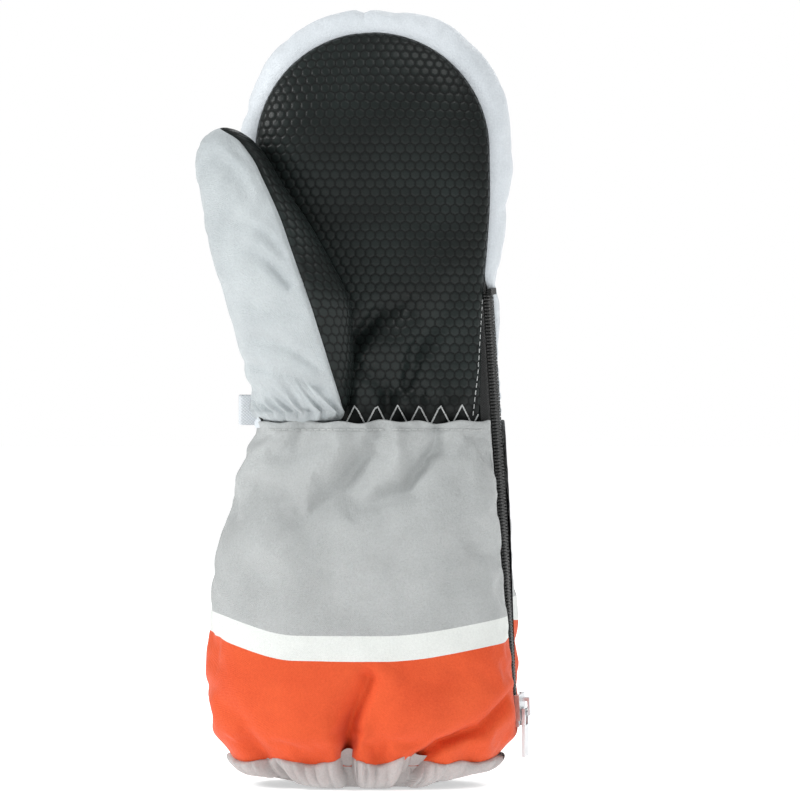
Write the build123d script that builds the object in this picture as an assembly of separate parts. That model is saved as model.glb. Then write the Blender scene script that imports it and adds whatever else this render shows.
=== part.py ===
"""Child's long-cuff ski mitten for the left hand, standing on its elasticated cuff with the fingers up.

+Z runs from the cuff's rim to the fingertips, the palm faces -Y and the thumb is on the -X side.
The origin is the middle of the rim that the mitten stands on. All sizes are in millimetres.
The mitten is sewn in layers: outer panels, wadding, lining, with elastic at the wrist and hem, and a
coil zip up the little-finger side. It bends at the thumb's root and across the finger joints. Each
layer that crosses one of those two lines is cut there, so that the two sides can turn.
"""

import os

from build123d import *

# Driving dimensions
TOTAL_HEIGHT = 290.0
HEM_TOP = 10.0  # top of the hem binding
WRIST_Z = 137.0  # seam between cuff and hand
THUMB_Z = 165.0  # plane in which the thumb leaves the hand
KNUCKLE_Z = 247.5  # plane across the finger joints
GAP = 0.3  # clearance between layers that turn against each other
THUMB_CLEARANCE = 0.6  # between the thumb and the palm it lies on

SHELL = 1.2  # outer panels
HAND_WADDING = 4.0
HAND_LINING = 1.2
CUFF_PADDING = 2.0
CUFF_LINING = 0.8

# Cross-sections as (z, left x, right x, centre y, half depth)
HAND_SECTIONS = [
    (128, -37.8, 52.0, 0.0, 19.6),
    (137, -37.6, 51.4, 0.0, 19.8),
    (150, -37.4, 51.2, 0.0, 20.5),
    (170, -37.4, 51.2, 0.0, 21.0),
    (190, -38.5, 51.2, -0.5, 21.0),
    (215, -41.5, 53.8, -1.5, 21.0),
    (235, -43.2, 55.0, -3.0, 21.0),
    (247.5, -43.2, 54.4, -4.0, 21.0),
    (256, -42.8, 53.6, -4.6, 20.6),
]
CUFF_SECTIONS = [
    (4, -47.6, 49.8, 0.0, 24.5),
    (10, -51.0, 53.0, 0.0, 27.0),
    (17, -54.4, 55.6, 0.0, 29.0),
    (26, -56.6, 58.2, 0.0, 30.0),
    (50, -57.6, 58.8, 0.0, 30.0),
    (75, -55.6, 57.0, 0.0, 28.5),
    (100, -51.0, 55.0, 0.0, 25.5),
    (122, -44.2, 53.0, 0.0, 22.0),
    (137, -38.2, 51.8, 0.0, 20.2),
    (144, -37.2, 51.6, 0.0, 19.8),
]
HEM_SECTIONS = [
    (-4, -40.0, 42.0, 0.0, 19.0),
    (0, -44.0, 46.0, 0.0, 21.5),
    (5, -48.0, 50.2, 0.0, 24.8),
    (10, -51.0, 53.0, 0.0, 27.0),
    (14, -53.0, 55.0, 0.0, 28.2),
]
HEM_WALL = 1.2
HEM_TUNNEL = 2.0  # room for the elastic between the binding and its facing

# Thumb sections as (z, centre x, centre y, long radius, short radius)
THUMB_SECTIONS = [
    (128, -22.0, -6.0, 17.0, 13.0),
    (137, -22.5, -8.0, 18.0, 14.0),
    (150, -22.6, -13.5, 20.0, 15.5),
    (165, -23.8, -21.5, 22.6, 16.0),
    (180, -26.6, -27.5, 24.6, 16.0),
    (195, -32.4, -30.0, 22.8, 15.0),
    (210, -38.4, -29.5, 20.0, 14.0),
    (225, -44.7, -28.0, 15.8, 12.5),
    (229, -46.0, -27.5, 14.8, 12.0),
]
THUMB_TURN = -28.0  # degrees from +X to the long radius
THUMB_CAP_Z = 225.0
THUMB_CAP_STEP = 0.15  # the rounded tip is this much slimmer than the tube below it
THUMB_TOP = 245.4
THUMB_SEAM_POINT = Vector(-18.5, -44.0, 187.0)
THUMB_SEAM_NORMAL = Vector(-0.80, -0.52, -0.30)
THUMB_BASE_SEAM = [(-13.4, 165.0), (-8.4, 150.0), (-5.8, 140.0), (-5.4, 130.0)]  # x, z of its front edge
THUMB_BASE_BACK_Y = 6.0

# Rounded top of the palm and back panels, as seen from the front
PANEL_TOP = (3.2, 237.0)
PANEL_TOP_RADII = (45.0, 44.8)
PANEL_SIDES = [(-41.8, 237), (-37.5, 200), (-36.5, 165), (-70, 165), (-70, 120)]
PANEL_SIDES += [(70, 120), (70, 186), (46.9, 186), (48.8, 215), (48.2, 237)]
MIDDLE_Y = -3.0  # plane between palm and back panels
GUSSET_SEAM_X = 0.0

# The white band on the cuff: height of its lower edge at the left, middle and right, and its width
BAND_LEFT, BAND_MIDDLE, BAND_RIGHT = 56.0, 49.0, 55.0
BAND_WIDTH = 9.0

# Zip: a straight coil chain from the hem end to the finger end
ZIP_LOW = Vector(58.0, 1.5, 26.0)
ZIP_HIGH = Vector(47.4, -9.6, 186.0)
ZIP_FACING = Vector(0.95, -0.31, 0)
ZIP_SLOT = 9.0
TAPE_THICK = 0.7
TAPE_GAP = 0.9  # half the gap between the two tapes
COIL_WIDTH, COIL_THICK = 2.9, 1.3
SLIDER_LENGTH, SLIDER_WIDTH, SLIDER_PLATE = 9.6, 8.2, 0.9
SLIDER_START = 3.2  # middle of the slider above the chain's lower end
BAIL_INSIDE = 2.1  # free height under the bail that holds the pull
STOP_LENGTH = 2.4
PULL_LENGTH, PULL_WIDTH, PULL_THICK = 18.0, 6.0, 1.2
PULL_LEAN = 4.0  # degrees that the hanging pull leans in over the narrowing cuff

LOOP_WIDTH = 11.0
LOOP_Z = 135.0
LOOP_ROOT = (-39.9, 1.0)  # x and y of its sewn edge
LOOP_REACH = 4.0  # from the sewn edge to the middle of the loop's round end
LOOP_ROUND = 2.2
LOOP_TAPE = 0.8

WRIST_ELASTIC_LOW, WRIST_ELASTIC_HIGH = 138.0, 146.0
ELASTIC_THICK = 1.0
FAR = 400.0  # larger than anything here


def slab(low, high):
    """Everything between two heights."""
    return Pos(0, 0, (low + high) / 2) * Box(FAR, FAR, high - low)


def ellipse_loft(sections, inset):
    """A body through ellipses of (z, left x, right x, centre y, half depth), made smaller by inset."""
    faces = [
        Pos((left + right) / 2, y, z) * Ellipse((right - left) / 2 - inset, depth - inset)
        for z, left, right, y, depth in sections
    ]
    return loft(faces)


def half_ellipsoid(centre, radii, turn=0.0):
    dome = scale(Solid.make_sphere(1, angle1=0, angle2=90), by=radii)
    return Pos(*centre) * Rot(0, 0, turn) * dome


def hand_form(inset):
    """The hand from the wrist to the finger joints, without the thumb."""
    return ellipse_loft(HAND_SECTIONS, inset)


def thumb_form(inset):
    """The whole thumb, from inside the hand to its tip."""
    faces = [
        Pos(x, y, z) * Rot(0, 0, THUMB_TURN) * Ellipse(long - inset, short - inset)
        for z, x, y, long, short in THUMB_SECTIONS
    ]
    tube = loft(faces) & slab(100, THUMB_CAP_Z)
    z, x, y, long, short = THUMB_SECTIONS[-2]
    trim = inset + THUMB_CAP_STEP
    radii = (long - trim, short - trim, THUMB_TOP - THUMB_CAP_Z - inset)
    return tube + half_ellipsoid((x, y, z), radii, THUMB_TURN)


def tip_form(inset):
    """The fingertip pocket above the finger joints."""
    z, left, right, y, depth = HAND_SECTIONS[-2]
    centre = ((left + right) / 2, y, KNUCKLE_Z)
    radii = ((right - left) / 2 - inset, depth - inset, TOTAL_HEIGHT - KNUCKLE_Z - inset)
    return half_ellipsoid(centre, radii)


def cuff_form(inset):
    return ellipse_loft(CUFF_SECTIONS, inset)


def hem_form(inset):
    return ellipse_loft(HEM_SECTIONS, inset)


def zip_frame(along=0.0):
    """Plane across the zip, that far above its lower end: x across it towards the palm, y outwards."""
    run = (ZIP_HIGH - ZIP_LOW).normalized()
    across = ZIP_FACING.cross(run).normalized()
    return Plane(origin=ZIP_LOW + run * along, x_dir=across, z_dir=run)


def zip_bar(low, high, x0, x1, y0, y1):
    """A bar along the zip, between distances from its lower end, across and outwards."""
    at = Pos((x0 + x1) / 2, (y0 + y1) / 2, (high - low) / 2)
    return zip_frame(low) * (at * Box(x1 - x0, y1 - y0, high - low))


ZIP_LENGTH = (ZIP_HIGH - ZIP_LOW).length
ZIP_OPENING = zip_bar(-4.5, ZIP_LENGTH + 0.2, -ZIP_SLOT / 2, ZIP_SLOT / 2, -14, 14)
BEHIND_ZIP = zip_bar(-60, ZIP_LENGTH, -60, 0, -30, 60)


def xz_prism(outline, low_y, high_y):
    """A region seen from the front, between two depths."""
    plane = Plane(origin=(0, high_y, 0), x_dir=(1, 0, 0), z_dir=(0, -1, 0))
    return extrude(plane * outline, high_y - low_y)


def panel_outline():
    top = Pos(*PANEL_TOP) * Ellipse(*PANEL_TOP_RADII)
    return top + Face(Wire.make_polygon([Vector(x, z) for x, z in PANEL_SIDES]))


PALM_REGION = xz_prism(panel_outline(), -FAR, MIDDLE_Y)
BACK_REGION = xz_prism(panel_outline(), MIDDLE_Y, FAR)
THUMB_SIDE = Pos(GUSSET_SEAM_X - FAR / 2, 0, 0) * Box(FAR, FAR, 2 * FAR)


def thumb_base_region():
    """The grey outer side of the thumb's root, round to the back panel."""
    points = [*THUMB_BASE_SEAM, (-80, THUMB_BASE_SEAM[-1][1]), (-80, THUMB_Z)]
    outline = Face(Wire.make_polygon([Vector(x, z) for x, z in points]))
    return xz_prism(outline, -FAR, THUMB_BASE_BACK_Y)


def band_region(low_shift, high_shift):
    """The part of the cuff between two copies of the white band's lower edge."""
    edges = []
    for shift in (low_shift, high_shift):
        ends = [(-80, BAND_LEFT + 8 + shift), (0, BAND_MIDDLE + shift), (80, BAND_RIGHT + 8 + shift)]
        edges.append(ThreePointArc(*[Vector(x, z) for x, z in ends]))
    sides = [Line(edges[0] @ 0, edges[1] @ 0), Line(edges[0] @ 1, edges[1] @ 1)]
    return xz_prism(make_face([*edges, *sides]), -FAR, FAR)


def hand_parts():
    """Everything of the hand that doesn't turn, from the wrist seam to the finger joints."""
    span = slab(WRIST_Z, KNUCKLE_Z)
    below_thumb = slab(WRIST_Z, THUMB_Z)
    depths = [0, SHELL, SHELL + HAND_WADDING, SHELL + HAND_WADDING + HAND_LINING]
    thumbs = [thumb_form(depth) for depth in depths]
    forms = [(hand_form(d) & span) + (t & below_thumb) for d, t in zip(depths, thumbs)]
    cavity = thumbs[-1] & slab(WRIST_Z, FAR)
    opening = cavity + ZIP_OPENING
    shell, wadding, lining = (forms[i] - forms[i + 1] - opening for i in range(3))
    elastic_band = forms[1] - ((hand_form(SHELL + ELASTIC_THICK) & span)
                               + (thumb_form(SHELL + ELASTIC_THICK) & below_thumb))
    elastic = (elastic_band & slab(WRIST_ELASTIC_LOW, WRIST_ELASTIC_HIGH)) - opening
    thumb_base = shell & thumb_base_region()
    rest = shell - thumb_base_region()
    palm = (rest & PALM_REGION) - BEHIND_ZIP
    behind = BACK_REGION + (BEHIND_ZIP & slab(0, ZIP_HIGH.Z))
    back = (rest - palm) & behind
    gusset = rest - palm - behind
    return {
        "palm_panel": palm,
        "hand_back_panel": back,
        "gusset_thumb_side": gusset & THUMB_SIDE,
        "gusset_outer_side": gusset - THUMB_SIDE,
        "thumb_back_base": thumb_base,
        "hand_wadding": wadding - elastic,
        "hand_lining": lining,
        "wrist_elastic": elastic,
    }


def tip_parts():
    """The fingertip pocket, which folds towards the palm."""
    depths = [0, SHELL, SHELL + HAND_WADDING, SHELL + HAND_WADDING + HAND_LINING]
    above = slab(KNUCKLE_Z + GAP, FAR)
    forms = [tip_form(depth) & above for depth in depths]
    shell, wadding, lining = (forms[i] - forms[i + 1] for i in range(3))
    palm = shell & PALM_REGION
    back = shell & BACK_REGION
    gusset = shell - PALM_REGION - BACK_REGION
    return {
        "palm_panel_tip": palm,
        "hand_back_tip": back,
        "gusset_thumb_side_tip": gusset & THUMB_SIDE,
        "gusset_outer_side_tip": gusset - THUMB_SIDE,
        "wadding_tip": wadding,
        "lining_tip": lining,
    }


def thumb_parts():
    """The thumb above its root, which swings away from the palm."""
    depths = [0, SHELL, SHELL + HAND_WADDING, SHELL + HAND_WADDING + HAND_LINING]
    above = slab(THUMB_Z + GAP, FAR) - hand_form(-THUMB_CLEARANCE)
    forms = [thumb_form(depth) for depth in depths]
    shell, wadding, lining = ((forms[i] - forms[i + 1]) & above for i in range(3))
    seam = Plane(origin=THUMB_SEAM_POINT, z_dir=THUMB_SEAM_NORMAL)
    outer_side = seam * (Pos(0, 0, FAR / 2) * Box(FAR, FAR, FAR))
    return {
        "thumb_back_panel": shell & outer_side,
        "thumb_palm_panel": shell - outer_side,
        "thumb_wadding": wadding,
        "thumb_lining": lining,
    }


def cuff_parts():
    """The long cuff below the wrist: two colour-blocked sides over padding and lining."""
    span = slab(HEM_TOP, WRIST_Z)
    depths = [0, SHELL, SHELL + CUFF_PADDING, SHELL + CUFF_PADDING + CUFF_LINING]
    forms = [cuff_form(depth) & span for depth in depths]
    shell, padding, lining = (forms[i] - forms[i + 1] - ZIP_OPENING for i in range(3))
    palm_side = Pos(0, -FAR / 2, 0) * Box(FAR, FAR, 2 * FAR) - BEHIND_ZIP
    sides = {"palm": shell & palm_side, "back": shell - palm_side}
    white, below = band_region(0, BAND_WIDTH), band_region(-FAR, 0)
    parts = {}
    for side, panel in sides.items():
        parts[f"cuff_{side}_panel"] = panel - white - below
        parts[f"cuff_{side}_white_band"] = panel & white
        parts[f"cuff_{side}_orange_band"] = panel & below
    parts["cuff_padding"] = padding
    parts["cuff_lining"] = lining
    return parts


def hem_parts():
    """The gathered hem: a folded binding round an elastic band."""
    span = slab(0, HEM_TOP)
    outer, tunnel = hem_form(0) & span, hem_form(HEM_WALL) & slab(HEM_WALL, HEM_TOP)
    facing = hem_form(HEM_WALL + HEM_TUNNEL) & slab(HEM_WALL, HEM_TOP)
    inside = hem_form(2 * HEM_WALL + HEM_TUNNEL)
    elastic = (tunnel - facing) & slab(HEM_WALL, HEM_TOP - HEM_WALL)
    return {
        "hem_binding": outer - tunnel - inside,
        "hem_facing": facing - inside,
        "hem_elastic": elastic,
    }


def zip_parts():
    """Two tapes with interlocked coils, the stops at both ends, and the guard behind the chain."""
    tape_out = ZIP_SLOT / 2
    tape_low, tape_high = -4.3, ZIP_LENGTH
    coil_low, coil_high = SLIDER_START, ZIP_LENGTH - STOP_LENGTH - 0.4
    stops = [
        zip_bar(-4.2, -4.2 + STOP_LENGTH, side * 2.0 - 0.9, side * 2.0 + 0.9, TAPE_THICK, 2.0)
        for side in (-1, 1)
    ]
    return {
        "zip_tape_palm": zip_bar(tape_low, tape_high, TAPE_GAP, tape_out, 0, TAPE_THICK),
        "zip_tape_back": zip_bar(tape_low, tape_high, -tape_out, -TAPE_GAP, 0, TAPE_THICK),
        "zip_coil_palm": zip_bar(coil_low, coil_high, 0.02, COIL_WIDTH, TAPE_THICK,
                                 TAPE_THICK + COIL_THICK),
        "zip_coil_back": zip_bar(coil_low, coil_high, -COIL_WIDTH, -0.02, TAPE_THICK,
                                 TAPE_THICK + COIL_THICK),
        "zip_end_stops": stops[0] + stops[1],
        "zip_finger_stop": zip_bar(ZIP_LENGTH - STOP_LENGTH, ZIP_LENGTH, -3.2, 3.2, TAPE_THICK,
                                   TAPE_THICK + COIL_THICK + 0.3),
        "zip_guard": zip_bar(-4.3, ZIP_LENGTH, -ZIP_SLOT / 2 + 0.1, ZIP_SLOT / 2 - 0.1, -4.2, -3.2),
    }


def slider_parts():
    """The slider at the hem end of the chain, where it holds the cuff closed, and its pull."""
    coil_top = TAPE_THICK + COIL_THICK
    low, high = SLIDER_START - SLIDER_LENGTH / 2, SLIDER_START + SLIDER_LENGTH / 2
    half = SLIDER_WIDTH / 2
    top_low = coil_top + 0.25
    plate_top = top_low + SLIDER_PLATE
    upper = zip_bar(low, high, -half, half, top_low, plate_top)
    lower = zip_bar(low, high, -half, half, -0.25 - SLIDER_PLATE, -0.25)
    neck = zip_bar(low, low + 2.4, -TAPE_GAP + 0.15, TAPE_GAP - 0.15, -0.5, top_low + 0.2)
    flanges = [
        zip_bar(low, high, side * (half - 0.35) - 0.35, side * (half - 0.35) + 0.35,
                TAPE_THICK + 0.5, top_low + 0.1)
        for side in (-1, 1)
    ]
    bail_low, bail_high = SLIDER_START - 3.4, SLIDER_START + 3.4
    posts = [
        zip_bar(end - 0.7, end + 0.7, -0.9, 0.9, plate_top - 0.1, plate_top + 2.8)
        for end in (bail_low + 0.7, bail_high - 0.7)
    ]
    bridge = zip_bar(bail_low, bail_high, -0.9, 0.9, plate_top + BAIL_INSIDE, plate_top + 2.9)
    body = upper + lower + neck + flanges[0] + flanges[1] + posts[0] + posts[1] + bridge
    pull_y = plate_top + BAIL_INSIDE / 2
    plane = zip_frame(bail_low + 1.4 + BAIL_INSIDE / 2)
    return body, pull_y, plane


def pull_part():
    """The pull tab, hanging from the slider's bail towards the hem."""
    _, pull_y, plane = slider_parts()
    bar = Rot(0, 90, 0) * Cylinder(PULL_THICK / 2, PULL_WIDTH)
    blade = Pos(0, 0, -PULL_LENGTH / 2) * Box(PULL_WIDTH, PULL_THICK, PULL_LENGTH)
    eye = Pos(0, 0, -3.3) * Box(2.8, 4, 5.4)
    return plane * (Pos(0, pull_y, 0) * Rot(-PULL_LEAN, 0, 0) * (bar + blade - eye))


def loop_part():
    """A folded tape loop sewn into the wrist seam on the thumb side."""
    x, y = LOOP_ROOT
    root = Pos(x, y) * Circle(LOOP_TAPE)
    end = Pos(x - LOOP_REACH, y) * Circle(LOOP_ROUND)
    root_inside = Pos(x - 2 * LOOP_TAPE, y) * Circle(LOOP_TAPE / 3)
    end_inside = Pos(x - LOOP_REACH, y) * Circle(LOOP_ROUND - LOOP_TAPE)
    outline = make_hull([*root.edges(), *end.edges()])
    gap = make_hull([*root_inside.edges(), *end_inside.edges()])
    return extrude(Pos(0, 0, LOOP_Z) * (outline - gap), LOOP_WIDTH)


def main():
    parts = {}
    for build in (hem_parts, cuff_parts, hand_parts, tip_parts, thumb_parts, zip_parts):
        parts.update(build())
    parts["zip_slider"] = slider_parts()[0]
    parts["zip_pull"] = pull_part()
    parts["wrist_loop"] = loop_part()
    os.makedirs("parts", exist_ok=True)
    for name, shape in parts.items():
        solids = shape.solids()
        print(name, len(solids), round(sum(s.volume for s in solids)))
        export_step(Compound(solids), f"parts/{name}.step")


main()
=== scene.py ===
"""Looks of the child's left ski mitten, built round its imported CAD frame.

Shapes are worked out in millimetres in the frame's own axes, fingers up +Z and palm towards -Y, and
turned into metres as each mesh is made. Every fabric panel is its own piece whose edges lie in the
valleys of its seams. Stitches, zip coils and the honeycomb of the palm are geometry.
"""

import math

import bpy
import numpy as np
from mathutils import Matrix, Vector
from mathutils.bvhtree import BVHTree
from mathutils.geometry import delaunay_2d_cdt


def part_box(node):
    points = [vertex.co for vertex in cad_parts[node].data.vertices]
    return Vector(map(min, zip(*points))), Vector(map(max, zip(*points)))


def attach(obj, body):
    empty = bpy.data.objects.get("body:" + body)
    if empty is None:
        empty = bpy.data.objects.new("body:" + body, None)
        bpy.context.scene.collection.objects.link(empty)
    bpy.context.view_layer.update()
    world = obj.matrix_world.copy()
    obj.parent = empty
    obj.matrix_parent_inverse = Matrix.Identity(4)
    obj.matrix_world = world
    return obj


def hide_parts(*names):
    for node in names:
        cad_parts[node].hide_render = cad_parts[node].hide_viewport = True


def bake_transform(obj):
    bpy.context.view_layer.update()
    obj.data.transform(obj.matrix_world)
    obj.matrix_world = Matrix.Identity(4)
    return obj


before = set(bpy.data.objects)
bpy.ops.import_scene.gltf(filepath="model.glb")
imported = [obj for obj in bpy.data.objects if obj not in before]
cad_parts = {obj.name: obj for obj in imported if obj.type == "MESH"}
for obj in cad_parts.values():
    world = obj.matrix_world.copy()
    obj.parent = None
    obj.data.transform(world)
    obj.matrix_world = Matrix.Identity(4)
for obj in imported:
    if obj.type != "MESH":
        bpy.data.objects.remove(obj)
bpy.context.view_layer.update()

MM = 0.001
WRIST_Z = 135.0  # lower edge of the hand's panels
ZIP_TOP_Z = 186.0
HEM_SEAM_Z = 13.0  # seam between the cuff and its hem


# ---------------------------------------------------------------- numbers and curves


def smooth(t):
    """Smooth step from 0 to 1."""
    t = np.clip(t, 0.0, 1.0)
    return t * t * (3 - 2 * t)


def hump(x, at, wide):
    """A smooth hump of height 1 at a place."""
    return np.exp(-(((x - at) / wide) ** 2))


def curve(table, at):
    """Smooth interpolation of rows (key, value, value ...) at the given keys; returns one array a value."""
    rows = np.array(table, float)
    keys, at = rows[:, 0], np.asarray(at, float)
    i = np.clip(np.searchsorted(keys, at) - 1, 0, len(keys) - 2)
    step = keys[i + 1] - keys[i]
    t = np.clip((at - keys[i]) / step, 0, 1)
    out = []
    for values in rows[:, 1:].T:
        slope = np.gradient(values, keys)
        a, b = values[i], values[i + 1]
        out.append(
            a * (2 * t**3 - 3 * t**2 + 1) + slope[i] * step * (t**3 - 2 * t**2 + t)
            + b * (3 * t**2 - 2 * t**3) + slope[i + 1] * step * (t**3 - t**2)
        )
    return out if len(out) > 1 else out[0]


def waves(x, y, seed, wavelength, count=7):
    """Soft aperiodic undulation between about -1 and 1, the same on every run."""
    rng = np.random.default_rng(seed)
    total = np.zeros_like(np.asarray(x, float) + np.asarray(y, float))
    for _ in range(count):
        angle, phase = rng.uniform(0, 2 * math.pi, 2)
        k = 2 * math.pi / (wavelength * rng.uniform(0.7, 1.5))
        total = total + np.sin(k * (x * math.cos(angle) + y * math.sin(angle)) + phase)
    return total / math.sqrt(count) / 1.3


def fold(x, z, points, height, width):
    """Height of a fold along a polyline of (x, z), negative for a valley; it changes from end to end."""
    line = np.array(points, float)
    best = np.full(np.shape(x), 1e9)
    share = np.zeros(np.shape(x))
    lengths = np.hypot(*np.diff(line, axis=0).T)
    start = 0.0
    for a, b, length in zip(line[:-1], line[1:], lengths):
        d = (b - a) / length
        t = np.clip(((x - a[0]) * d[0] + (z - a[1]) * d[1]) / length, 0, 1)
        away = np.hypot(x - a[0] - t * length * d[0], z - a[1] - t * length * d[1])
        nearer = away < best
        best = np.where(nearer, away, best)
        share = np.where(nearer, (start + t * length) / lengths.sum(), share)
        start += length
    wide = width[0] + (width[1] - width[0]) * share
    high = height[0] + (height[1] - height[0]) * share
    return high * np.exp(-((best / wide) ** 2))


def folds(x, z, table):
    """Sum of a table's folds, rows of points, heights and widths."""
    return sum(fold(x, z, *row) for row in table)


# ---------------------------------------------------------------- meshes


def new_piece(name, verts, faces, attributes=None):
    """A smooth-shaded mesh from millimetre points, with optional per-point float attributes."""
    mesh = bpy.data.meshes.new(name)
    mesh.from_pydata([tuple(v) for v in (np.asarray(verts) * MM).tolist()], [], faces)
    mesh.polygons.foreach_set("use_smooth", [True] * len(mesh.polygons))
    for key, values in (attributes or {}).items():
        mesh.attributes.new(key, "FLOAT", "POINT").data.foreach_set("value", np.asarray(values, np.float32))
    mesh.update()
    piece = bpy.data.objects.new(name, mesh)
    bpy.context.scene.collection.objects.link(piece)
    return piece


def grid_faces(rows, columns, closed=False):
    """Quads of a grid stored row by row; closed joins the last column to the first."""
    faces = []
    for r in range(rows - 1):
        for c in range(columns if closed else columns - 1):
            d = (c + 1) % columns
            faces.append((r * columns + c, r * columns + d, (r + 1) * columns + d, (r + 1) * columns + c))
    return faces


def point_normals(verts, faces):
    """Area-weighted normal of each point of a mesh of triangles or quads."""
    verts = np.asarray(verts, float)
    normals = np.zeros_like(verts)
    sides = len(faces[0])
    index = np.array(faces)
    p = verts[index]
    if sides == 3:
        n = np.cross(p[:, 1] - p[:, 0], p[:, 2] - p[:, 0])
    else:
        n = np.cross(p[:, 2] - p[:, 0], p[:, 3] - p[:, 1])
    for k in range(sides):
        np.add.at(normals, index[:, k], n)
    return normals / np.maximum(np.linalg.norm(normals, axis=1, keepdims=True), 1e-9)


def hex_points(low, high, spacing):
    """A lattice of equilateral triangles over a rectangle."""
    rise = spacing * math.sqrt(3) / 2
    rows = np.arange(math.floor(low[1] / rise), math.ceil(high[1] / rise) + 1)
    columns = np.arange(math.floor(low[0] / spacing) - 1, math.ceil(high[0] / spacing) + 1)
    c, r = np.meshgrid(columns, rows)
    return np.stack([(c + 0.5 * (r % 2)) * spacing, r * rise], -1).reshape(-1, 2)


BATCH = 4000  # points measured at a time, to save memory


def nearest_on(outline, points):
    """Distance of each point to a closed outline, negative outside, and the inward direction there."""
    a, b = outline, np.roll(outline, -1, axis=0)
    d = b - a
    length = np.maximum(np.hypot(*d.T), 1e-9)
    d = d / length[:, None]
    area = 0.5 * np.sum(a[:, 0] * b[:, 1] - b[:, 0] * a[:, 1])
    inward = np.stack([-d[:, 1], d[:, 0]], -1) * np.sign(area)
    distance = np.empty(len(points))
    normal = np.empty((len(points), 2))
    for first in range(0, len(points), BATCH):
        batch = slice(first, first + BATCH)
        p = points[batch]
        rel = p[:, None] - a[None]
        t = np.clip(np.einsum("pkj,kj->pk", rel, d), 0, length)
        away = rel - t[..., None] * d[None]
        dist = np.hypot(away[..., 0], away[..., 1])
        k = dist.argmin(1)
        i = np.arange(len(p))
        side = np.sign(np.einsum("pj,pj->p", away[i, k], inward[k]))
        side[side == 0] = 1
        distance[batch] = dist[i, k] * side
        n = away[i, k] * side[:, None]
        size = np.hypot(*n.T)
        normal[batch] = np.where(size[:, None] > 0.3, n / np.maximum(size, 1e-9)[:, None], inward[k])
    return distance, normal


def resample(outline, spacing):
    """Evenly spaced points along a closed outline."""
    closed = np.vstack([outline, outline[:1]])
    run = np.concatenate([[0], np.cumsum(np.hypot(*np.diff(closed, axis=0).T))])
    count = max(8, int(round(run[-1] / spacing)))
    at = np.arange(count) * run[-1] / count
    return np.stack([np.interp(at, run, closed[:, 0]), np.interp(at, run, closed[:, 1])], -1)


def fill_outline(outline, spacing):
    """Triangles over a closed flat outline on an even lattice: points and faces."""
    edge = resample(outline, spacing)
    lattice = hex_points(outline.min(0), outline.max(0), spacing)
    distance, _ = nearest_on(edge, lattice)
    inner = lattice[distance > 0.55 * spacing]
    points = np.vstack([edge, inner])
    n = len(edge)
    ring = [(i, (i + 1) % n) for i in range(n)]
    verts, _, faces, *_ = delaunay_2d_cdt([Vector(p) for p in points], ring, [], 1, 1e-4)
    return np.array([tuple(v) for v in verts]), [tuple(f) for f in faces]


SIM_SCALE = 0.01  # the cloth is simulated at ten times its size, where the solver is steady
SIM_FRAMES = 24


def crumple(points, faces, pins, grow, pressure, bending, most):
    """Cloth simulation: how far each point of a cloth that is cut too large moves, in millimetres."""
    points = np.asarray(points, float).reshape(-1, 3)
    mesh = bpy.data.meshes.new("cloth")
    mesh.from_pydata([tuple(p) for p in (points * SIM_SCALE).tolist()], [], faces)
    cloth = bpy.data.objects.new("cloth", mesh)
    bpy.context.scene.collection.objects.link(cloth)
    group = cloth.vertex_groups.new(name="pin")
    for i, weight in enumerate(np.reshape(pins, -1)):
        group.add([i], float(weight), "REPLACE")
    modifier = cloth.modifiers.new("cloth", "CLOTH")
    settings = modifier.settings
    settings.vertex_group_mass = "pin"
    settings.quality = 6
    settings.mass = 0.25
    settings.air_damping = 3.0
    settings.tension_stiffness = settings.compression_stiffness = 20.0
    settings.shear_stiffness = 8.0
    settings.bending_stiffness = bending
    settings.shrink_min = -grow
    settings.use_pressure = pressure > 0
    settings.uniform_pressure_force = pressure
    settings.effector_weights.gravity = 0.0
    modifier.point_cache.frame_end = SIM_FRAMES
    for frame_number in range(1, SIM_FRAMES + 1):
        bpy.context.scene.frame_set(frame_number)
    made = cloth.evaluated_get(bpy.context.evaluated_depsgraph_get()).to_mesh()
    after = np.array([v.co for v in made.vertices]) / SIM_SCALE
    edges = np.array([e.vertices[:] for e in mesh.edges])
    bpy.data.objects.remove(cloth)
    bpy.context.scene.frame_set(1)
    move = after - points
    ends = np.concatenate([edges, edges[:, ::-1]])
    counts = np.bincount(ends[:, 0], minlength=len(points))[:, None]
    for _ in range(2):  # softens the solver's finest ripples
        around = np.zeros_like(move)
        np.add.at(around, ends[:, 0], move[ends[:, 1]])
        move = (around + 2 * move) / (counts + 2)
    size = np.linalg.norm(move, axis=-1, keepdims=True)
    return move * np.tanh(size / most) * most / np.maximum(size, 1e-6)


def sample(field, u, v):
    """Bilinear values of a grid of vectors at fractional row and column places."""
    rows, columns = field.shape[:2]
    u, v = np.clip(u, 0, rows - 1.001), np.clip(v, 0, columns - 1.001)
    i, j = u.astype(int), v.astype(int)
    a, b = (u - i)[..., None], (v - j)[..., None]
    top = field[i, j] * (1 - b) + field[i, j + 1] * b
    return top * (1 - a) + (field[i + 1, j] * (1 - b) + field[i + 1, j + 1] * b) * a


# ---------------------------------------------------------------- honeycomb leather

CELL = 3.7  # distance between the honeycomb's cells
CELL_RISE = 0.34  # height of a cell above its grooves
CELL_MESH = CELL / 7  # spacing of the leather's mesh
GROOVE_HALF, GROOVE_SLOPE = 0.06, 0.42


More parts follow.
